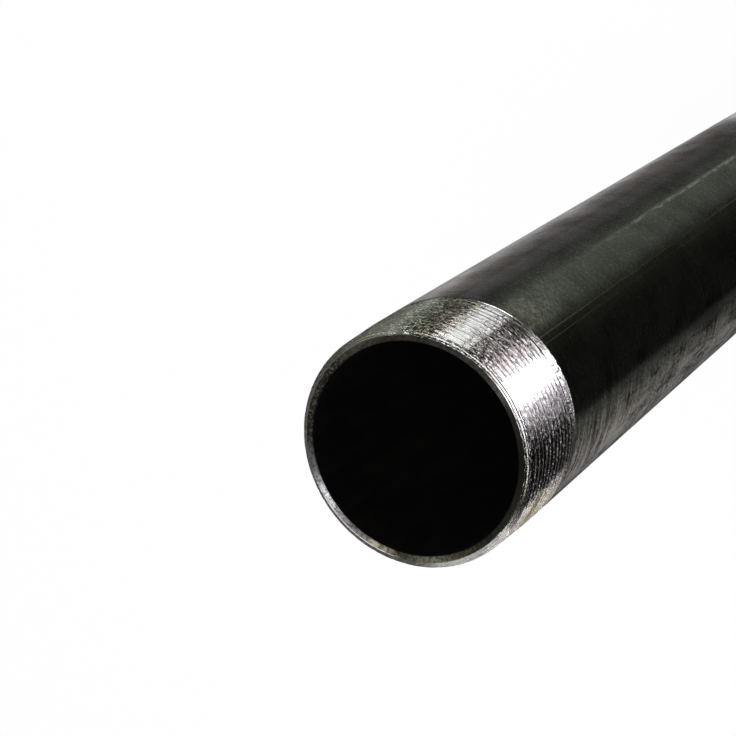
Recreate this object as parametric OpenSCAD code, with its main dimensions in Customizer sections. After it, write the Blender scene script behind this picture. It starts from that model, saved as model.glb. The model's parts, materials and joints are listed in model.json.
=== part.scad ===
/* [Pipe] */
// Outside diameter of the pipe
outside_d = 88.9; // [60:0.1:140]
// Thickness of the wall
wall = 5.49; // [4.8:0.01:8]
// Overall length, from end face to end face
pipe_len = 609.6; // [200:0.1:1200]

/* [Threaded ends] */
// Distance along the pipe from one thread to the next
thread_pitch = 3.175; // [2:0.005:3.2]
// Where the thread starts on each end face, as an angle round the pipe
thread_start = 167; // [0:1:359]
// Length along the pipe in which the threaded end grows one unit in diameter
taper_run = 16; // [12:1:24]
// Width of the bevel round the outside of each end face
face_bevel = 2.4; // [1:0.1:2.5]
// Slope of that bevel, from the plane of the end face
bevel_angle = 35; // [33:1:60]
// Chamfer that the reamer leaves round the bore at each end face
bore_ream = 0.3; // [0.1:0.05:0.6]

/* [Hidden] */
$fn = 180;
inch = 25.4;

outside_r = outside_d / 2;
bore_r = outside_r - wall;

// Taper pipe thread. Its pitch diameter at the end face and its length follow
// from the outside diameter and the pitch. Over the last turn and a half the
// roots rise until the thread has run out.
pitch_d_at_face = outside_d - (0.05 * outside_d / inch + 1.1) * thread_pitch;
thread_len = (0.8 * outside_d / inch + 10.27) * thread_pitch;
run_out_len = 1.5 * thread_pitch;
full_len = thread_len - run_out_len;
thread_depth = 0.8 * thread_pitch;
flank_angle = 30;
crest_r_at_face = (pitch_d_at_face + thread_depth) / 2;
root_r_at_face = crest_r_at_face - thread_depth;

// The crests stay a hair inside the plain pipe, and a groove keeps a hair of
// width where it has run out
crest_r_limit = outside_r - 0.02;
least_half_groove = 0.05;

// The thread is wound in straight steps, and runs on a little into the pipe
steps_per_turn = 48;
threaded_len = thread_len + thread_pitch / 2;
// how far cuts and hidden ends go past what they have to reach
past = 1;

function tapered(r_at_face, z) = r_at_face + z / (2 * taper_run);

// Radius of a crest: tapered, then level
function crest_r(z) = min(tapered(crest_r_at_face, z), crest_r_limit);

// Radius of a root: tapered, then rising to the crest
function root_r(z) =
    let (full_r = tapered(root_r_at_face, min(z, full_len)),
         risen = min(1, max(0, z - full_len) / run_out_len))
    full_r + risen * (crest_r_limit - full_r);

// Half the width of the groove at its open side
function half_groove(z) =
    max(least_half_groove, (crest_r(z) - root_r(z)) * tan(flank_angle));

// Root, near crest edge and far crest edge at one step of the winding, each
// as [radius, distance from the end face]; the winding begins one turn
// outside the face
function wound_profile(step) =
    let (z = (step / steps_per_turn - 1) * thread_pitch,
         near = z + half_groove(z),
         far = z + thread_pitch - half_groove(z + thread_pitch))
    [[root_r(z), z], [crest_r(near), near], [crest_r(far), far]];

// Solid bar whose outside is the thread, from beyond the end face to beyond
// the threaded length
module threaded_bar() {
    turns = ceil(threaded_len / thread_pitch) + 2;
    last = turns * steps_per_turn;
    end = last - steps_per_turn;
    corners = [for (step = [0:last])
        let (angle = thread_start + 360 * step / steps_per_turn)
        for (p = wound_profile(step)) [p.x * cos(angle), p.x * sin(angle), p.y]];
    bottom = len(corners);
    top = bottom + 1;
    hubs = [[0, 0, -2 * thread_pitch], [0, 0, threaded_len + 2 * thread_pitch]];

    // a profile ends at the root of the next turn
    function at(step, k) = k < 3 ? 3 * step + k : 3 * (step + steps_per_turn);

    wound = [for (i = [0:end - 1], k = [0:2]) each [
        [at(i, k), at(i, k + 1), at(i + 1, k)],
        [at(i + 1, k), at(i, k + 1), at(i + 1, k + 1)]]];
    under = concat(
        [for (i = [0:steps_per_turn - 1]) [bottom, at(i, 0), at(i + 1, 0)]],
        [for (k = [0:2]) [bottom, at(0, k + 1), at(0, k)]]);
    over = concat(
        [for (i = [end:last - 1]) [top, at(i + 1, 0), at(i, 0)]],
        [for (k = [0:2]) [top, at(end, k), at(end, k + 1)]]);
    polyhedron(concat(corners, hubs), concat(wound, under, over), convexity = 20);
}

// The threaded end of the pipe, still solid, its end face at z = 0: a cone
// that starts at the end face cuts the bevel
module threaded_end() {
    bevel_r_at_face = crest_r_at_face - face_bevel;
    intersection() {
        threaded_bar();
        cylinder(
            h = threaded_len,
            r1 = bevel_r_at_face,
            r2 = bevel_r_at_face + threaded_len / tan(bevel_angle));
    }
}

// The bore, reamed at both end faces
module bore() {
    translate([0, 0, -past]) cylinder(h = pipe_len + 2 * past, r = bore_r);
    cylinder(h = bore_ream, r1 = bore_r + bore_ream, r2 = bore_r);
    translate([0, 0, pipe_len - bore_ream])
        cylinder(h = bore_ream, r1 = bore_r, r2 = bore_r + bore_ream);
}

// One steel tube, threaded at both ends and open right through
module pipe() {
    color([0.10, 0.10, 0.11])
        difference() {
            union() {
                translate([0, 0, thread_len])
                    cylinder(h = pipe_len - 2 * thread_len, r = outside_r);
                threaded_end();
                translate([0, 0, pipe_len]) rotate([180, 0, 0]) threaded_end();
            }
            bore();
        }
}

pipe();
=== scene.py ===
import json
import math
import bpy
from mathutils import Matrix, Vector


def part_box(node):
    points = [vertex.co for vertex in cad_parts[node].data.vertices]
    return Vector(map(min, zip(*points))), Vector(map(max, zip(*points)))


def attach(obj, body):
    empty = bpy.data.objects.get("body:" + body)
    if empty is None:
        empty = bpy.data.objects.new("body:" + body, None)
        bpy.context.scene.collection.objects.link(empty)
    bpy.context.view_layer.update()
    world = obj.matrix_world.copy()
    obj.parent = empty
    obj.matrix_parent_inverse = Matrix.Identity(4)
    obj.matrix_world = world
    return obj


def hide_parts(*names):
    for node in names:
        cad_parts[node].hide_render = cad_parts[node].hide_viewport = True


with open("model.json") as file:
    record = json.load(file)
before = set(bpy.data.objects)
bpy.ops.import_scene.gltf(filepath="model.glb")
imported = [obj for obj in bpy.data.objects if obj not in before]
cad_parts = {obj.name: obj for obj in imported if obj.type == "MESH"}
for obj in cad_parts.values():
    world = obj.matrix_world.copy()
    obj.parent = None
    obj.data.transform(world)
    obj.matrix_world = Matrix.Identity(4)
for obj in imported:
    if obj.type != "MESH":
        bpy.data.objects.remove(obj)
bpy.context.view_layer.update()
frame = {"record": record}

from types import SimpleNamespace

import bmesh
import bpy
import numpy as np
from mathutils import Matrix, Vector, noise

# The camera. It looks down on the upper end of the standing pipe, 30 degrees off the pipe's
# axis, through a long lens, so that the end face, the thread and the two edges of the pipe
# lie where the photograph has them.
camera_place = (0, -0.3794, 1.2505)
camera_right = (-0.58984, -0.68397, -0.42927)
camera_up = (0.80637, -0.52730, -0.26782)
camera_back = (-0.04317, -0.50412, 0.86255)
camera_data = bpy.data.cameras.new("photo_camera")
camera_data.lens = 105.35
camera_data.sensor_width = 36
camera = bpy.data.objects.new("photo_camera", camera_data)
bpy.context.scene.collection.objects.link(camera)
camera_turn = Matrix((camera_right, camera_up, camera_back)).transposed().to_4x4()
camera.matrix_world = Matrix.Translation(camera_place) @ camera_turn
bpy.context.scene.camera = camera

# The pipe. One length of welded steel tube, cut square and bevelled at both ends, with a
# right-hand taper thread cut on each end and the bore reamed. The sizes are those of the
# frame; the thread's proportions follow from them as they do on the real one.
mounts = {mount["name"]: mount["dims"] for mount in frame["record"]["mounts"]}
bore_r = mounts["bore"]["r_mm"] / 1000
outside_r = mounts["plain_body"]["r_mm"] / 1000
pipe_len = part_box("pipe")[1].z

inch = 0.0254
pitch = 0.003175
taper = 1 / 32
outside_inches = 2 * outside_r / inch
effective_len = (0.8 * outside_inches + 6.8) * pitch
thread_len = effective_len + 3.47 * pitch
run_out_len = 1.5 * pitch
full_len = thread_len - run_out_len
thread_depth = 0.8 * pitch
pitch_r_at_face = outside_r - (0.05 * outside_inches + 1.1) * pitch / 2
crest_r_at_face = pitch_r_at_face + thread_depth / 2
root_r_at_face = crest_r_at_face - thread_depth
flank_slope = math.tan(math.radians(30))
half_groove = thread_depth * flank_slope
least_half_groove = 0.00005
thread_start = math.radians(167)
face_bevel = 0.0024
face_r = crest_r_at_face - face_bevel
bevel_slope = math.tan(math.radians(35))
bore_ream = 0.0003
crest_below_body = 0.00002
crest_r_limit = outside_r - crest_below_body
overlap = pitch / 2
plug_past_end = 0.001

thread_steps = 420
blank_steps = 480
round_steps = 288


def deselect_all():
    bpy.ops.object.select_all(action="DESELECT")


def only(piece):
    deselect_all()
    piece.select_set(True)
    bpy.context.view_layer.objects.active = piece


def apply_modifier(piece, kind, **settings):
    modifier = piece.modifiers.new("step", kind)
    for name, value in settings.items():
        setattr(modifier, name, value)
    only(piece)
    bpy.ops.object.modifier_apply(modifier=modifier.name)


def pick(piece, wanted):
    """In edit mode, selects the faces that `wanted` accepts, and nothing else."""
    mesh = bmesh.from_edit_mesh(piece.data)
    bpy.ops.mesh.select_all(action="DESELECT")
    for face in mesh.faces:
        if wanted(face):
            face.select_set(True)
    mesh.select_flush_mode()
    bmesh.update_edit_mesh(piece.data)


def thread_profile():
    """One turn's outline from root to root, as heights above the lower root."""
    flank = [0, 0.34, 0.68, 1]
    rising = [share * half_groove for share in flank]
    return rising + [pitch - height for height in reversed(rising)]


def wind_thread():
    """The thread's surface, wound on a mandrel of the root's size, one turn too long at each end."""
    heights = thread_profile()
    bpy.ops.mesh.primitive_plane_add(size=0.01)
    thread = bpy.context.object
    thread.name = "thread"
    bpy.ops.object.mode_set(mode="EDIT")
    bpy.ops.mesh.delete(type="ONLY_FACE")
    mesh = bmesh.from_edit_mesh(thread.data)
    bpy.ops.mesh.select_all(action="DESELECT")
    for vertex in mesh.verts:
        vertex.select = vertex.co.x < 0
    bpy.ops.mesh.delete(type="VERT")
    bpy.ops.mesh.select_all(action="SELECT")
    bpy.ops.mesh.subdivide(number_cuts=len(heights) - 2)
    mesh = bmesh.from_edit_mesh(thread.data)
    for height, vertex in zip(heights, sorted(mesh.verts, key=lambda v: v.co.y)):
        vertex.co = (root_r_at_face, 0, height - pitch)
    bmesh.update_edit_mesh(thread.data)
    bpy.ops.object.mode_set(mode="OBJECT")
    turns = math.ceil((thread_len + overlap) / pitch) + 2
    apply_modifier(
        thread, "SCREW", axis="Z", angle=2 * math.pi, screw_offset=pitch, iterations=turns,
        steps=thread_steps, render_steps=thread_steps)
    bpy.ops.object.mode_set(mode="EDIT")
    bpy.ops.mesh.select_all(action="SELECT")
    bpy.ops.mesh.remove_doubles(threshold=1e-6)
    bpy.ops.object.mode_set(mode="OBJECT")
    return thread


def crest_r(z):
    return np.minimum(crest_r_at_face + z * taper, crest_r_limit)


def root_r(z):
    full_r = root_r_at_face + np.minimum(z, full_len) * taper
    risen = np.clip((z - full_len) / run_out_len, 0, 1)
    return full_r + risen * (crest_r_limit - full_r)


def chip_thread(turn, up_flank, height, radius):
    """The die tears the steel a little: it chips the crests and leaves the flanks uneven."""
    noise_r_mm = 44
    chip_depth = 0.00016
    flank_shift = 0.00009
    for i in range(len(turn)):
        if up_flank[i] < 0.1:
            continue
        angle = turn[i] * 2 * math.pi
        spot = Vector((
            math.cos(angle) * noise_r_mm, math.sin(angle) * noise_r_mm, height[i] * 1000))
        chip = noise.noise(spot * 1.3 + Vector((7, 3, 0)))
        chip += 0.6 * noise.noise(spot * 2.9)
        shift = noise.noise(spot * 0.9 + Vector((0, 19, 5)))
        height[i] += flank_shift * shift * up_flank[i]
        radius[i] -= chip_depth * max(0.0, chip) * up_flank[i]


def form_thread(thread):
    """Moves the wound surface to the true form: 60 degree grooves, tapered, that run out."""
    place = np.empty(len(thread.data.vertices) * 3)
    thread.data.vertices.foreach_get("co", place)
    place = place.reshape(-1, 3)
    turn = np.arctan2(place[:, 1], place[:, 0]) / (2 * math.pi)
    phase = (place[:, 2] / pitch - turn) % 1
    phase[phase > 1 - 1e-4] = 0
    side = np.where(phase < 0.5, 1, -1)
    from_root = np.where(phase < 0.5, phase, 1 - phase) * pitch
    at_root = place[:, 2] - side * from_root
    up_flank = from_root / half_groove
    depth = crest_r(at_root) - root_r(at_root)
    opening = np.maximum(depth * flank_slope, least_half_groove)
    height = at_root + side * up_flank * opening
    radius = root_r(at_root) + up_flank * (crest_r(height) - root_r(at_root))
    chip_thread(turn, up_flank, height, radius)
    angle = turn * 2 * math.pi + thread_start
    place = np.column_stack((radius * np.cos(angle), radius * np.sin(angle), height))
    thread.data.vertices.foreach_set("co", place.ravel())
    thread.data.update()


def close_thread(thread):
    """Closes the wound surface to a solid bar: a cone of faces at each end."""
    bpy.ops.object.mode_set(mode="EDIT")
    for hub in (-2 * pitch, thread_len + overlap + 3 * pitch):
        bpy.ops.mesh.select_all(action="DESELECT")
        mesh = bmesh.from_edit_mesh(thread.data)
        for edge in mesh.edges:
            if edge.is_boundary and (edge.verts[0].co.z > thread_len / 2) == (hub > 0):
                edge.select_set(True)
        bpy.ops.mesh.extrude_edges_move()
        bpy.ops.mesh.merge(type="COLLAPSE")
        mesh = bmesh.from_edit_mesh(thread.data)
        for vertex in mesh.verts:
            if vertex.select:
                vertex.co = (0, 0, hub)
        bmesh.update_edit_mesh(thread.data)
    bpy.ops.mesh.select_all(action="SELECT")
    bpy.ops.mesh.normals_make_consistent(inside=False)
    bpy.ops.object.mode_set(mode="OBJECT")


def end_blank():
    """The space that the threaded end keeps to: a square face and a cone for its bevel."""
    height = thread_len + overlap
    bpy.ops.mesh.primitive_cylinder_add(
        vertices=blank_steps, radius=face_r, depth=height, location=(0, 0, height / 2))
    blank = bpy.context.object
    only(blank)
    bpy.ops.object.transform_apply(location=True, rotation=True, scale=True)
    bpy.ops.object.mode_set(mode="EDIT")
    pick(blank, lambda face: face.normal.z > 0.9)
    widen = (face_r + height / bevel_slope) / face_r
    bpy.ops.transform.resize(value=(widen, widen, 1), center_override=(0, 0, height))
    bpy.ops.object.mode_set(mode="OBJECT")
    return blank


def bore_plug():
    """The bore as a plug, wider at both ends by what the reamer takes."""
    bpy.ops.mesh.primitive_cylinder_add(
        vertices=round_steps, radius=bore_r, depth=pipe_len - 2 * bore_ream,
        location=(0, 0, pipe_len / 2))
    plug = bpy.context.object
    only(plug)
    bpy.ops.object.transform_apply(location=True, rotation=True, scale=True)
    bpy.ops.object.mode_set(mode="EDIT")
    widen = (bore_r + bore_ream) / bore_r
    for end in (-1, 1):
        end_z = pipe_len / 2 + end * (pipe_len / 2)
        pick(plug, lambda face: face.normal.z * end > 0.9)
        bpy.ops.mesh.extrude_region_move(TRANSFORM_OT_translate={"value": (0, 0, end * bore_ream)})
        bpy.ops.transform.resize(value=(widen, widen, 1), center_override=(0, 0, end_z))
        bpy.ops.mesh.extrude_region_move(TRANSFORM_OT_translate={"value": (0, 0, end * plug_past_end)})
    bpy.ops.object.mode_set(mode="OBJECT")
    return plug


def combine(piece, other, operation):
    apply_modifier(piece, "BOOLEAN", operation=operation, object=other, solver="MANIFOLD")
    bpy.data.objects.remove(other)


# The lower end is made first. Its copy, turned over, is the upper end, and the plain middle
# joins them before the bore goes through.
threaded_pipe = wind_thread()
form_thread(threaded_pipe)
close_thread(threaded_pipe)
combine(threaded_pipe, end_blank(), "INTERSECT")

only(threaded_pipe)
bpy.ops.object.duplicate()
upper_end = bpy.context.object
upper_end.data.transform(
    Matrix.Translation((0, 0, pipe_len)) @ Matrix.Rotation(math.pi, 4, "X"))

bpy.ops.mesh.primitive_cylinder_add(
    vertices=round_steps, radius=outside_r, depth=pipe_len - 2 * thread_len,
    location=(0, 0, pipe_len / 2))
plain_middle = bpy.context.object
combine(threaded_pipe, plain_middle, "UNION")
combine(threaded_pipe, upper_end, "UNION")
combine(threaded_pipe, bore_plug(), "DIFFERENCE")

threaded_pipe.name = "threaded_pipe"
threaded_pipe.data.name = "threaded_pipe"
only(threaded_pipe)
bpy.ops.object.shade_smooth_by_angle(angle=math.radians(32))

# The finishes: lacquer and cut steel outside, bare steel on the end faces, mill scale in the bore. Round
# the pipe the outside's colours also carry painted highlight, shade and sheen. Places on the pipe are in
# millimetres, and azimuths in degrees round it from +X.


class Wire:
    """An output socket of a material. Arithmetic on it adds Math nodes."""

    def __init__(self, tree, socket):
        self.tree = tree
        self.socket = socket

    def node(self, kind, inputs, out=0, ramp=None, **settings):
        """Adds a node: its settings and its ramp's stops first, then what goes into it."""
        made = self.tree.nodes.new("ShaderNode" + kind)
        for name, value in settings.items():
            setattr(made, name, value)
        if ramp:
            stops = made.color_ramp.elements
            for position, colour in ramp[1:-1]:
                stops.new(position).color = (*colour, 1)
            for stop, (position, colour) in ((stops[0], ramp[0]), (stops[-1], ramp[-1])):
                stop.position = position
                stop.color = (*colour, 1)
        for name, value in inputs.items():
            if isinstance(value, Wire):
                self.tree.links.new(value.socket, made.inputs[name])
            else:
                made.inputs[name].default_value = value
        return Wire(self.tree, made.outputs[out] if len(made.outputs) else None)

    def math(self, operation, *others):
        return self.node("Math", dict(enumerate((self, *others))), operation=operation)

    def __add__(self, other):
        return self.math("ADD", other)

    def __sub__(self, other):
        return self.math("SUBTRACT", other)

    def __rsub__(self, other):
        return self.node("Math", {0: other, 1: self}, operation="SUBTRACT")

    def __mul__(self, other):
        return self.math("MULTIPLY", other)

    __radd__ = __add__
    __rmul__ = __mul__

    def at_least(self, other):
        return self.math("MAXIMUM", other)

    def at_most(self, other):
        return self.math("MINIMUM", other)

    def rise(self, start, end):
        """0 up to `start`, 1 from `end` on, smooth between."""
        return self.node("MapRange", {0: self, 1: start, 2: end}, interpolation_type="SMOOTHSTEP")

    def scaled(self, x, y, z):
        return self.node("VectorMath", {0: self, 1: (x, y, z)}, operation="MULTIPLY")

    def speckle(self, scale, detail=3, rough=0.55):
        return self.node(
            "TexNoise", {"Vector": self, "Scale": scale, "Detail": detail, "Roughness": rough})

    def between(self, first, second):
        """The first colour where this share is 0, the second where it is 1."""
        sides = [side if isinstance(side, Wire) else (*side, 1) for side in (first, second)]
        return self.node("Mix", {0: self, 6: sides[0], 7: sides[1]}, out=2, data_type="RGBA")

    def tint(self, colour, share):
        """This colour, changing to the other one where the share is 1."""
        return share.between(self, colour)


def new_material(name):
    """A material still without a shader, and the place of a point on the piece, in metres."""
    material = bpy.data.materials.new(name)
    material.use_nodes = True
    material.node_tree.nodes.clear()
    return material, Wire(material.node_tree, None).node("TexCoord", {}, out="Object")


def finish_material(place, base, roughness, metallic, normal, **constants):
    inputs = {"Base Color": base, "Roughness": roughness, "Metallic": metallic, "Normal": normal}
    shader = place.node("BsdfPrincipled", inputs | constants)
    shader.node("OutputMaterial", {"Surface": shader})


def survey(place):
    """Where a point lies on the pipe: millimetres, and degrees round the axis from +X."""
    mm = place.scaled(1000, 1000, 1000)
    x, y, z = (mm.node("SeparateXYZ", {0: mm}, out=axis) for axis in range(3))
    angle = y.math("ARCTAN2", x)
    below = pipe_len * 1000 - z
    return SimpleNamespace(
        mm=mm, angle=angle, azimuth=angle * math.degrees(1), radius=(x * x + y * y).math("SQRT"),
        z=z, below=below, from_end=z.at_most(below))


def wrapped(at, across, height):
    """Noise space that closes round the pipe: marks per millimetre across, and a height."""
    reach = outside_r * 1000 * across
    east = at.angle.math("COSINE") * reach
    north = at.angle.math("SINE") * reach
    return at.mm.node("CombineXYZ", {0: east, 1: north, 2: height})


def sector(azimuth, centre, half, soft):
    """1 round that azimuth of the pipe, in degrees, out to half its width."""
    away = (azimuth - centre).math("WRAP", 180, -180).math("ABSOLUTE")
    return 1 - away.rise(half - soft, half + soft)


def around(azimuth, *stops):
    """A colour or share that changes round the pipe: (azimuth in degrees, colour or share)."""
    ramp = []
    for degrees, value in stops:
        colour = value if isinstance(value, tuple) else (value, value, value)
        ramp.append(((degrees + 180) / 360, colour))
    return azimuth.node("ValToRGB", {0: azimuth * (1 / 360) + 0.5}, ramp=ramp)


def lacquer_marks(at):
    """The brush, the dust with its painted sheen and the blotches of the lacquer, and the dark lines
    drawn in it.
    """
    lean = (at.angle + math.radians(130)).math("SINE") * (outside_r * 1000 * 0.16)
    dark_lines = wrapped(at, 0.9, at.z * 0.02).speckle(1.0, 3).rise(0.46, 0.54)
    return SimpleNamespace(
        brushed=wrapped(at, 0.055, (at.z + lean) * 0.5).speckle(1.0, 6, 0.74),
        blotch=at.mm.scaled(0.07, 0.07, 0.045).speckle(1.0, 5, 0.6),
        fine=at.mm.speckle(0.9, 3, 0.7),
        dust_and_sheen_share=around(
            at.azimuth,
            (-180, 0.45), (-168, 1), (-125, 1), (-116, 0), (110, 0), (150, 0.15), (180, 0.45)),
        dark_lines=dark_lines * sector(at.azimuth, -171, 8, 3))


def lacquer_colour(at, coat):
    """Greenish beside the weld at -85 degrees and warm grey towards -20, dusty and brushed past -125,
    black between. The green and warm grey are largely painted sheen, and the dusty zone carries painted
    sheen too.
    """
    dust_edge = at.azimuth + at.below * 0.025 + (coat.brushed - 0.5) * 16 + (coat.blotch - 0.5) * 12
    # Dust past -125 degrees, with the pale sheen of the lacquer painted into its colour; black lacquer
    # between.
    dust_and_painted_sheen = around(
        dust_edge,
        (-180, (0.17, 0.162, 0.158)), (-158, (0.25, 0.233, 0.225)), (-144, (0.235, 0.215, 0.190)),
        (-139, (0.145, 0.135, 0.116)), (-130, (0.086, 0.085, 0.066)), (-124, (0.038, 0.038, 0.029)),
        (-120, (0.0060, 0.0060, 0.0046)), (60, (0.0045, 0.0045, 0.0034)), (110, (0.02, 0.02, 0.018)),
        (140, (0.055, 0.053, 0.050)), (180, (0.17, 0.162, 0.158)))
    # Painted sheen: the reflection of a pale surround, painted in as a green tint beside the weld and a
    # warm grey one towards -20 degrees.
    tint_and_painted_sheen = around(
        at.azimuth,
        (-180, (0, 0, 0)), (-105, (0, 0, 0)), (-94, (0.0015, 0.0015, 0.001)),
        (-85, (0.008, 0.009, 0.006)), (-81, (0.023, 0.026, 0.019)), (-75, (0.058, 0.065, 0.051)),
        (-61, (0.086, 0.094, 0.075)), (-57, (0.052, 0.058, 0.045)), (-49, (0.030, 0.031, 0.026)),
        (-40, (0.034, 0.025, 0.020)), (-25, (0.100, 0.076, 0.063)), (-17, (0.110, 0.087, 0.067)),
        (0, (0.050, 0.042, 0.035)), (40, (0, 0, 0)), (180, (0, 0, 0)))
    colour = at.mm.node("VectorMath", {0: dust_and_painted_sheen, 1: tint_and_painted_sheen}, operation="ADD")
    run = at.mm.scaled(0.22, 0.22, 0.03).speckle(1.0, 4, 0.6)
    near_thread = 1 - at.below.rise(80, 150)
    worn = sector(at.azimuth, -22, 18, 8)
    mottle = (coat.brushed - 0.5) * (0.8 + 8.0 * coat.dust_and_sheen_share * (0.55 + 0.45 * near_thread))
    mottle = mottle + (coat.blotch - 0.5) * (1.2 + 3.4 * coat.dust_and_sheen_share + 1.8 * worn)
    mottle = mottle + (coat.fine - 0.5) * (1.8 + 2.2 * coat.dust_and_sheen_share)
    mottle = mottle - 0.9 * run.rise(0.50, 0.58) * coat.dust_and_sheen_share * (1 - 0.8 * near_thread)
    mottle = (1 + mottle).at_least(0.12)
    return at.mm.node("VectorMath", {0: colour, "Scale": mottle}, operation="SCALE")


def lacquer_wear(at, coat, colour):
    """The lacquer's pale line, scratches and dark lines, the weld's two edges, and its rust."""
    pale_streaks = at.mm.scaled(0.5, 0.5, 0.16).speckle(1.0, 4, 0.65)
    pale_line = sector(at.azimuth + (pale_streaks - 0.5) * 4, -59.9, 1.0, 0.9) * at.below.rise(110, 240)
    colour = colour.tint((0.26, 0.28, 0.24), pale_line * (0.2 + 0.8 * pale_streaks.rise(0.42, 0.6)))

    arc = at.angle * (outside_r * 1000)
    uphill = wrapped(at, 0.35, (at.z + arc * 0.9) * 1.5).speckle(1.0, 3).rise(0.54, 0.64)
    downhill = wrapped(at, 0.35, (at.z - arc * 0.7) * 1.5).speckle(1.0, 3).rise(0.55, 0.65)
    rubbed = sector(at.azimuth, -68, 10, 4) * (1 - at.from_end.rise(46, 108))
    rubbed = rubbed * coat.blotch.rise(0.35, 0.55)
    scratched = rubbed * (0.10 + 0.90 * uphill.at_least(downhill)) * 0.9
    colour = colour.tint((0.27, 0.28, 0.19), scratched)
    colour = colour.tint((0.012, 0.012, 0.012), coat.dark_lines * 0.85)

    drawn = at.mm.scaled(0.5, 0.5, 0.012).speckle(1.0, 4)
    for edge, strength in ((-82.8, 0.65), (-86.6, 0.4)):
        beside = (at.azimuth - edge).math("ABSOLUTE")
        seam = (1 - beside.rise(0.1, 0.4)) * (0.2 + 0.8 * drawn.rise(0.4, 0.6))
        seam = seam * strength * (1 - 0.3 * at.below.rise(60, 130))
        colour = colour.tint((0.11, 0.11, 0.07), seam)
    rust = sector(at.azimuth, -85, 2, 1) * at.mm.scaled(1, 1, 0.3).speckle(0.11, 3).rise(0.5, 0.7)
    return colour.tint((0.022, 0.011, 0.008), rust * 0.6)


def lacquer_sheen(at, coat):
    """The gloss of the lacquer, hazed by the brush and, more, in the zone of dust and painted sheen, and
    plainer at the back.
    """
    plain = 1 - 0.8 * sector(at.azimuth, 90, 62, 16)
    haze = (coat.brushed - 0.5) * (2.4 + 3.0 * coat.dust_and_sheen_share) * plain
    haze = haze + (coat.blotch - 0.5) * (2.0 + 2.0 * coat.dust_and_sheen_share)
    haze = 0.5 + haze + 1.6 * (coat.fine - 0.5) * plain
    return haze.at_least(0.1) * (1 - 0.9 * coat.dark_lines)


def die_marks(at):
    """How the die has cut the steel: cleanly in some stretches, with torn flanks in others. Its masks
    also carry painted light: shade on the torn zones, the crests and the flanks, and highlight on the
    core round -95.5 degrees, the bevel at -173 degrees and the crest beads.
    """
    flank = at.from_end + at.radius
    tear = wrapped(at, 0.62, flank * 2.3).speckle(1.0, 5, 0.74)
    dash = wrapped(at, 0.12, flank * 2.6).speckle(1.0, 3, 0.6)
    spark = wrapped(at, 0.7, flank * 2.4).speckle(1.0, 3, 0.7).rise(0.58, 0.61)
    wander = at.azimuth + (tear - 0.5) * 14
    wander = wander + (36 - at.from_end) * 0.17 * sector(at.azimuth, -155, 20, 6)
    # Where the die tore the steel. The torn zones are also painted near black in the thread's colour, as
    # painted shade for the dark surround they face.
    torn_and_painted_dark_share = around(
        wander,
        (-180, 0.10), (-160, 0.22), (-148, 0.34), (-144, 1.00), (-129, 0.96), (-124, 0.66),
        (-116, 0.48), (-104, 0.32), (-100, 0.0), (-91, 0.0), (-87, 0.28), (-81, 0.50), (-76, 0.66),
        (-68, 0.60), (-65, 0.16), (-54, 0.10), (-50, 0.60), (-40, 0.54), (-36, 0.22), (0, 0.20),
        (60, 0.30), (180, 0.10))
    crest = (crest_r_at_face * 1000 + at.from_end * taper).at_most(crest_r_limit * 1000)
    depth = crest - at.radius
    bevel_height = (at.radius - face_r * 1000) * bevel_slope
    on_bevel = 1 - (at.from_end - bevel_height).rise(0.02, 0.10)

    # Everywhere but the painted highlight core round -95.5 degrees, which is kept free of painted shade.
    clean = 1 - sector(at.azimuth, -95.5, 5.4, 1.5)
    # A painted highlight along the crest edges, which joins the bright chips.
    glint = (1 - depth.rise(0.10, 0.30)) * dash.rise(0.52, 0.58) * 0.8
    torn_and_painted_dark = (tear + (torn_and_painted_dark_share - 0.5) * 0.5).rise(0.47, 0.55)
    chips_and_painted_glints = torn_and_painted_dark * spark.at_least(glint) * (1 - 0.6 * sector(at.azimuth, -135, 12, 5))
    # Painted highlights: pale, dull beads in rows on the crests round -127 degrees.
    painted_highlight_beads = wrapped(at, 1.1, at.from_end * 0.7).speckle(1.0, 2, 0.6).rise(0.54, 0.60)
    painted_highlight_beads = painted_highlight_beads * (1 - depth.rise(0.12, 0.40)) * sector(wander, -127, 20, 6)

    turned = (at.radius * 8 + 3 * dash + 2 * tear).math("SINE") * on_bevel
    # A painted highlight on the bevel round -173 degrees.
    painted_bevel_highlight = sector(at.azimuth, -173, 9, 3)
    # Painted shade: dark dashes on the crests and along the middle of the flanks, joined below by the
    # turning marks on the bevel.
    painted_crest_shade = (1 - depth.rise(0.12, 0.40)) * (1 - dash.rise(0.46, 0.60))
    beside = (depth - 0.70).math("ABSOLUTE")
    painted_ridge_shade = (1 - beside.rise(0.05, 0.20)) * dash.rise(0.46, 0.60)
    lines = (painted_crest_shade * 0.7 + painted_ridge_shade * 0.4) * clean * (0.45 + torn_and_painted_dark_share) * (1 - on_bevel)
    lines = lines + turned.rise(0.1, 0.8) * 0.7 * (0.4 + 0.6 * clean) * (1 - painted_bevel_highlight)

    # Darker, duller and less metallic round the back, next to the end.
    darkened_back = around(
        at.azimuth,
        (-180, 0.30), (-172, 0.15), (-165, 0.0), (-12, 0.0), (2, 0.55), (15, 0.92), (132, 0.95),
        (142, 0.55), (152, 0.35), (180, 0.30))
    darkened_back = darkened_back * (1 - at.from_end.rise(3.0, 6.0)) * (1 - 0.7 * spark)
    return SimpleNamespace(
        tear=tear, dash=dash, spark=spark, wander=wander, torn_and_painted_dark_share=torn_and_painted_dark_share, depth=depth,
        clean=clean, chips_and_painted_glints=chips_and_painted_glints, torn_and_painted_dark=torn_and_painted_dark - 0.95 * chips_and_painted_glints, painted_highlight_beads=painted_highlight_beads, lines=lines,
        turned=turned, on_bevel=on_bevel, painted_bevel_highlight=painted_bevel_highlight, darkened_back=darkened_back)


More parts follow.
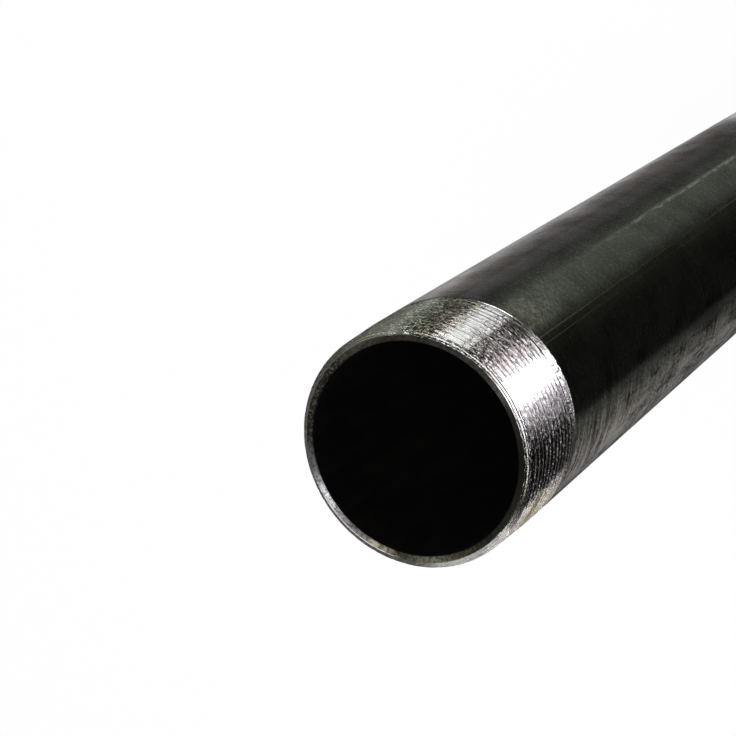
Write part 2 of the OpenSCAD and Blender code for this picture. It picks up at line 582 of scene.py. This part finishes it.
def thread_colour(at, cut):
    """The cut thread from the back round: bright, gold, torn and dark, bright, torn, green. Besides the
    steel's own tints, the bright and dark stretches are painted highlight and painted shade.
    """
    # The steel's colour round the pipe: its own gold, green and brown tints, and painted highlight and
    # shade, bright round -175, -148, -95 and -60 degrees and dark towards the side.
    steel = around(
        cut.wander,
        (-180, (0.92, 0.90, 0.89)), (-171, (0.92, 0.90, 0.89)), (-168.5, (0.36, 0.37, 0.31)),
        (-166, (0.46, 0.42, 0.385)), (-156, (0.54, 0.49, 0.44)), (-148, (0.86, 0.80, 0.76)),
        (-144, (0.56, 0.53, 0.53)), (-122, (0.60, 0.57, 0.57)), (-115, (0.57, 0.53, 0.565)),
        (-104, (0.64, 0.60, 0.63)), (-100, (0.70, 0.70, 0.70)), (-90, (0.70, 0.70, 0.70)),
        (-86, (0.56, 0.51, 0.525)), (-78, (0.58, 0.535, 0.535)), (-67, (0.63, 0.595, 0.575)),
        (-64, (0.66, 0.66, 0.65)), (-54, (0.66, 0.66, 0.64)), (-50, (0.54, 0.50, 0.38)),
        (-40, (0.62, 0.60, 0.38)), (-37, (0.58, 0.64, 0.51)), (-33, (0.48, 0.52, 0.41)),
        (-29, (0.62, 0.67, 0.55)), (-25, (0.44, 0.45, 0.35)), (-20, (0.35, 0.355, 0.27)),
        (-8, (0.22, 0.22, 0.17)), (20, (0.60, 0.585, 0.58)), (140, (0.60, 0.585, 0.58)),
        (180, (0.92, 0.90, 0.89)))
    steel = steel.tint((0.92, 0.89, 0.88), cut.chips_and_painted_glints * 0.6)
    steel = steel.tint((0.80, 0.92, 0.76), cut.spark * sector(cut.wander, -33, 8, 3) * 0.8)
    # Painted shade: the torn zones near black, outside the highlight core.
    steel = steel.tint((0.006, 0.0055, 0.005), cut.torn_and_painted_dark * cut.clean)
    steel = steel.tint((0.90, 0.87, 0.87), cut.painted_highlight_beads * 0.9)

    uneven = cut.tear - 0.5
    gold = at.from_end.rise(10.5, 13) * (1 - at.from_end.rise(18, 20))
    gold = gold * sector(cut.wander, -155, 9, 3) * (0.6 + 0.4 * cut.tear.rise(0.4, 0.6))
    steel = steel.tint((0.21, 0.175, 0.05), gold)
    browned = (at.from_end + uneven * 4).rise(36.0, 38.5) * sector(cut.wander, -150, 24, 6)
    steel = steel.tint((0.10, 0.085, 0.082), browned * 0.8)
    stain = (at.from_end + uneven * 6).rise(33, 35.5) * (1 - at.from_end.rise(38, 39.2))
    steel = steel.tint((0.03, 0.033, 0.024), stain * sector(cut.wander, -75, 5, 3) * 0.8)
    # Painted shade on the crests and flanks, and the bevel's turning marks.
    return steel.tint((0.10, 0.09, 0.09), cut.lines)


def bevel_wear(at, cut, steel):
    """The bevel: a painted highlight in one stretch, painted shade in others, burred by stretches, and
    darker and duller at the back.
    """
    # Painted highlight on the bevel round -173 degrees.
    steel = steel.tint((0.95, 0.92, 0.90), cut.painted_bevel_highlight * cut.on_bevel * 0.5)
    # Painted shade on the bevel round -62 and -138 degrees.
    painted_bevel_shade = sector(at.azimuth, -62, 22, 6) * 0.7 * cut.tear.rise(0.42, 0.52)
    painted_bevel_shade = painted_bevel_shade + sector(at.azimuth, -138, 22, 8) * 0.92
    steel = steel.tint((0.035, 0.031, 0.025), painted_bevel_shade * cut.on_bevel)
    lip = at.radius.rise(41.9, 42.15) * (1 - at.radius.rise(42.4, 42.65)) * cut.tear.rise(0.40, 0.47)
    lip = lip * (0.6 * sector(at.azimuth, -55, 38, 10) + 0.75 * sector(at.azimuth, -124, 20, 6))
    burr = (cut.spark * sector(at.azimuth, -95, 50, 12)).at_least(lip) * cut.on_bevel
    steel = steel.tint((0.95, 0.93, 0.90), burr * 0.9)
    steel = steel.tint((0.085, 0.080, 0.068), cut.darkened_back.rise(0.0, 0.6))
    return steel.tint((0.012, 0.012, 0.010), cut.darkened_back * cut.tear.rise(0.42, 0.54) * 0.9)


def scraped_relief(at, cut):
    """Behind the thread the die has scraped a band, which ends in a rim under the lacquer."""
    band_start = 36.3
    band_len = 4.1
    rim_len = 0.65
    front = sector(at.azimuth, -90, 95, 10)
    scraped = at.from_end + cut.depth * flank_slope - band_start
    scraped = scraped.at_least(0).at_most(band_len) * (6 + 10 * front)
    rim = (at.from_end - (band_start + band_len)).at_least(0).at_most(rim_len)
    rim = 44 * rim * (0.3 * front + 0.7 * sector(at.azimuth, -86, 42, 6))
    return scraped + rim


def outside_finish():
    """Black lacquer on the body, and bare cut steel on the thread and the bevel, with painted highlight,
    shade and sheen in their colours.
    """
    material, place = new_material("black_lacquer_and_cut_thread")
    at = survey(place)
    coat = lacquer_marks(at)
    cut = die_marks(at)
    lacquer_edge = 41.0
    lacquered = at.from_end + 0.5 * (at.mm.speckle(0.5, 3) - 0.5)
    lacquered = lacquered.rise(lacquer_edge, lacquer_edge + 0.3)
    bare = 1 - lacquered

    lacquer = lacquer_wear(at, coat, lacquer_colour(at, coat))
    steel = bevel_wear(at, cut, thread_colour(at, cut))
    base = steel.tint(lacquer, lacquered)

    lacquer_rough = 0.16 + 0.10 * coat.brushed + 0.10 * coat.fine
    steel_rough = 0.10 + 0.06 * cut.torn_and_painted_dark + 0.34 * cut.chips_and_painted_glints + 0.15 * cut.lines + 0.3 * cut.darkened_back
    roughness = lacquered * lacquer_rough + bare * steel_rough
    metallic = bare * (1 - cut.darkened_back) * (1 - 0.8 * cut.painted_highlight_beads)

    rough_cut = (0.15 + 1.3 * cut.torn_and_painted_dark_share) * (0.1 + 0.9 * cut.clean)
    steel_height = (0.8 * cut.tear + 0.3 * cut.dash + 0.4 * cut.spark) * rough_cut + 0.2 * cut.turned
    height = bare * steel_height + 0.06 * coat.fine * lacquered + scraped_relief(at, cut)
    bump = place.node("Bump", {"Height": height, "Strength": 1.0, "Distance": 0.0001})
    finish_material(
        place, base, roughness, metallic, bump, **{
            "IOR": 1.12, "Coat Weight": lacquer_sheen(at, coat) * lacquered, "Coat IOR": 1.25,
            "Coat Roughness": 0.18})
    return material


def face_finish():
    """Bare steel, dark with oil in places, bright at the left and spotted at the far side."""
    material, place = new_material("sawn_end_face")
    at = survey(place)
    scratches = at.mm.speckle(0.8, 5, 0.7)
    turned = at.mm.node("CombineXYZ", {0: at.azimuth * 0.05, 1: at.radius * 1.6, 2: 0.0})
    wander = at.azimuth + (scratches - 0.5) * 10
    steel = around(
        wander,
        (-180, (0.02, 0.02, 0.015)), (-155, (0.015, 0.015, 0.012)), (-130, (0.007, 0.007, 0.005)),
        (-105, (0.015, 0.014, 0.012)), (-92, (0.07, 0.066, 0.065)), (-84, (0.034, 0.032, 0.028)),
        (-25, (0.024, 0.022, 0.018)), (-10, (0.055, 0.050, 0.040)), (10, (0.015, 0.014, 0.011)),
        (50, (0.018, 0.017, 0.014)), (68, (0.16, 0.16, 0.165)), (82, (0.92, 0.90, 0.95)),
        (97, (0.25, 0.24, 0.26)), (110, (0.22, 0.21, 0.19)), (117, (0.48, 0.42, 0.33)),
        (132, (0.05, 0.047, 0.036)), (150, (0.16, 0.155, 0.11)), (162, (0.06, 0.056, 0.038)),
        (180, (0.02, 0.02, 0.015)))
    steel = steel.tint((0.006, 0.005, 0.004), scratches.rise(0.46, 0.60) * 0.7)
    lip = at.radius.rise(40.8, 41.1) * sector(wander, 107, 22, 6)
    steel = steel.tint((0.90, 0.88, 0.84), lip * 0.85 * scratches.rise(0.40, 0.54))
    pits = at.mm.speckle(1.3, 3, 0.6).rise(0.54, 0.60) * sector(wander, 32, 34, 10)
    steel = steel.tint((0.10, 0.095, 0.080), pits * 0.7)
    height = 0.6 * scratches + 0.4 * turned.speckle(1.0, 3)
    bump = place.node("Bump", {"Height": height, "Strength": 0.8, "Distance": 0.0001})
    finish_material(place, steel, 0.35 + 0.2 * scratches, 1.0, bump)
    return material


def bore_finish():
    """Mill scale: black and dull."""
    material, place = new_material("scaled_bore")
    scale = place.scaled(1000, 1000, 200).speckle(0.2, 4)
    skin = scale.rise(0.4, 0.7).between((0.0008, 0.0009, 0.0007), (0.0035, 0.0035, 0.0025))
    bump = place.node("Bump", {"Height": scale, "Strength": 0.5, "Distance": 0.0002})
    finish_material(
        place, skin, 0.75 + 0.1 * scale, 0.0, bump, **{"Specular IOR Level": 0.1})
    return material


outside, face, bore = range(3)
threaded_pipe.data.materials.clear()
for finish in (outside_finish(), face_finish(), bore_finish()):
    threaded_pipe.data.materials.append(finish)
for polygon in threaded_pipe.data.polygons:
    from_axis = math.hypot(polygon.center.x, polygon.center.y)
    level = abs(polygon.normal.z)
    if from_axis < bore_r + bore_ream and level < 0.1:
        polygon.material_index = bore
    elif level > 0.99 or from_axis < bore_r + 2 * bore_ream:
        polygon.material_index = face
    else:
        polygon.material_index = outside

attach(threaded_pipe, "root")
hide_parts("pipe")

# The floor: plain white and round, turned up at its edge to a low wall, so that low views
# have a white background too.
floor_r = 6
wall_height = 2.2
glow_share = 0.94
deselect_all()
bpy.ops.mesh.primitive_circle_add(vertices=96, radius=floor_r, fill_type="NGON")
floor = bpy.context.object
floor.name = "floor"
bpy.ops.object.mode_set(mode="EDIT")
bpy.ops.mesh.select_mode(type="EDGE")
bpy.ops.mesh.select_all(action="DESELECT")
floor_mesh = bmesh.from_edit_mesh(floor.data)
for edge in floor_mesh.edges:
    edge.select_set(edge.is_boundary)
bpy.ops.mesh.extrude_edges_move(TRANSFORM_OT_translate={"value": (0, 0, wall_height)})
bpy.ops.mesh.select_mode(type="FACE")
bpy.ops.object.mode_set(mode="OBJECT")
floor_material, floor_place = new_material("white_floor")
seen = floor_place.node("LightPath", {}, out="Is Camera Ray")
for kind in ("Is Glossy Ray", "Is Transmission Ray"):
    seen = seen.at_least(floor_place.node("LightPath", {}, out=kind))
paint = floor_place.node("BsdfDiffuse", {"Color": (0.9, 0.9, 0.9, 1)})
glow = floor_place.node("Emission", {"Color": (1, 1, 1, 1), "Strength": 1.0})
floor_surface = floor_place.node("MixShader", {0: seen * glow_share, 1: paint, 2: glow})
floor_surface.node("OutputMaterial", {"Surface": floor_surface})
floor.data.materials.append(floor_material)

# The light: seven softboxes round the upper end and a dim plain world. Each is placed by the
# direction in which it lies from the upper end, in degrees, and by its distance.
upper_centre = Vector((0, 0, pipe_len))


def softbox(name, azimuth, elevation, size, watts, distance=1.6):
    data = bpy.data.lights.new(name, "AREA")
    data.shape = "RECTANGLE"
    data.size, data.size_y = size
    data.energy = watts
    lamp = bpy.data.objects.new(name, data)
    bpy.context.scene.collection.objects.link(lamp)
    a, e = math.radians(azimuth), math.radians(elevation)
    out = Vector((math.cos(a) * math.cos(e), math.sin(a) * math.cos(e), math.sin(e)))
    lamp.location = upper_centre + out * distance
    lamp.rotation_mode = "QUATERNION"
    lamp.rotation_quaternion = out.to_track_quat("Z", "Y")
    lamp.visible_camera = False


softbox("key", azimuth=-101.5, elevation=57, size=(0.46, 0.5), watts=3.4)
softbox("wing", azimuth=-131, elevation=53, size=(0.42, 0.5), watts=0.30)
softbox("side", azimuth=-33.5, elevation=50, size=(0.42, 0.56), watts=0.9)
softbox("left", azimuth=163, elevation=31, size=(0.62, 0.4), watts=1.2)
softbox("far_left", azimuth=136, elevation=13, size=(0.9, 0.46), watts=1.1)
softbox("right", azimuth=13, elevation=33, size=(0.8, 0.4), watts=0.38)
softbox("overhead", azimuth=-90, elevation=86, size=(2.4, 2.4), watts=200, distance=4.0)

world = bpy.context.scene.world or bpy.data.worlds.new("studio")
bpy.context.scene.world = world
world.use_nodes = True
world.node_tree.nodes["Background"].inputs["Color"].default_value = (1, 1, 1, 1)
world.node_tree.nodes["Background"].inputs["Strength"].default_value = 0.05

# Black and grey cards of matt paper on the floor, out of the picture. Each fills a sector round
# the foot of the pipe, and the lacquer mirrors them as its dark zones.
card_inner_r = 0.09
card_height = 0.002


def card(name, from_azimuth, to_azimuth, reach, grey):
    bpy.ops.mesh.primitive_plane_add(size=1)
    made = bpy.context.object
    made.name = name
    corners = [(azimuth, out) for azimuth in (from_azimuth, to_azimuth) for out in (card_inner_r, reach)]
    for vertex, (azimuth, out) in zip(made.data.vertices, corners):
        angle = math.radians(azimuth)
        vertex.co = (out * math.cos(angle), out * math.sin(angle), card_height)
    material = bpy.data.materials.new(name)
    material.use_nodes = True
    paper = material.node_tree.nodes["Principled BSDF"].inputs
    paper["Base Color"].default_value = (grey, grey, grey, 1)
    paper["Roughness"].default_value = 1
    paper["Specular IOR Level"].default_value = 0
    made.data.materials.append(material)
    made.visible_camera = False
    made.visible_diffuse = False
    made.visible_shadow = False


card("card_front", -180, -67, reach=1.4, grey=0.015)
card("card_weld", -67, -10, reach=0.7, grey=0.05)
card("card_side", -10, 14, reach=0.6, grey=0.09)
card("card_right", 14, 34, reach=0.6, grey=0.20)
card("card_far", 34, 60, reach=0.6, grey=0.57)
card("card_edge", 60, 85, reach=0.6, grey=0.10)
card("card_left", 85, 180, reach=0.6, grey=0.11)

bpy.context.scene.view_settings.view_transform = "Standard"
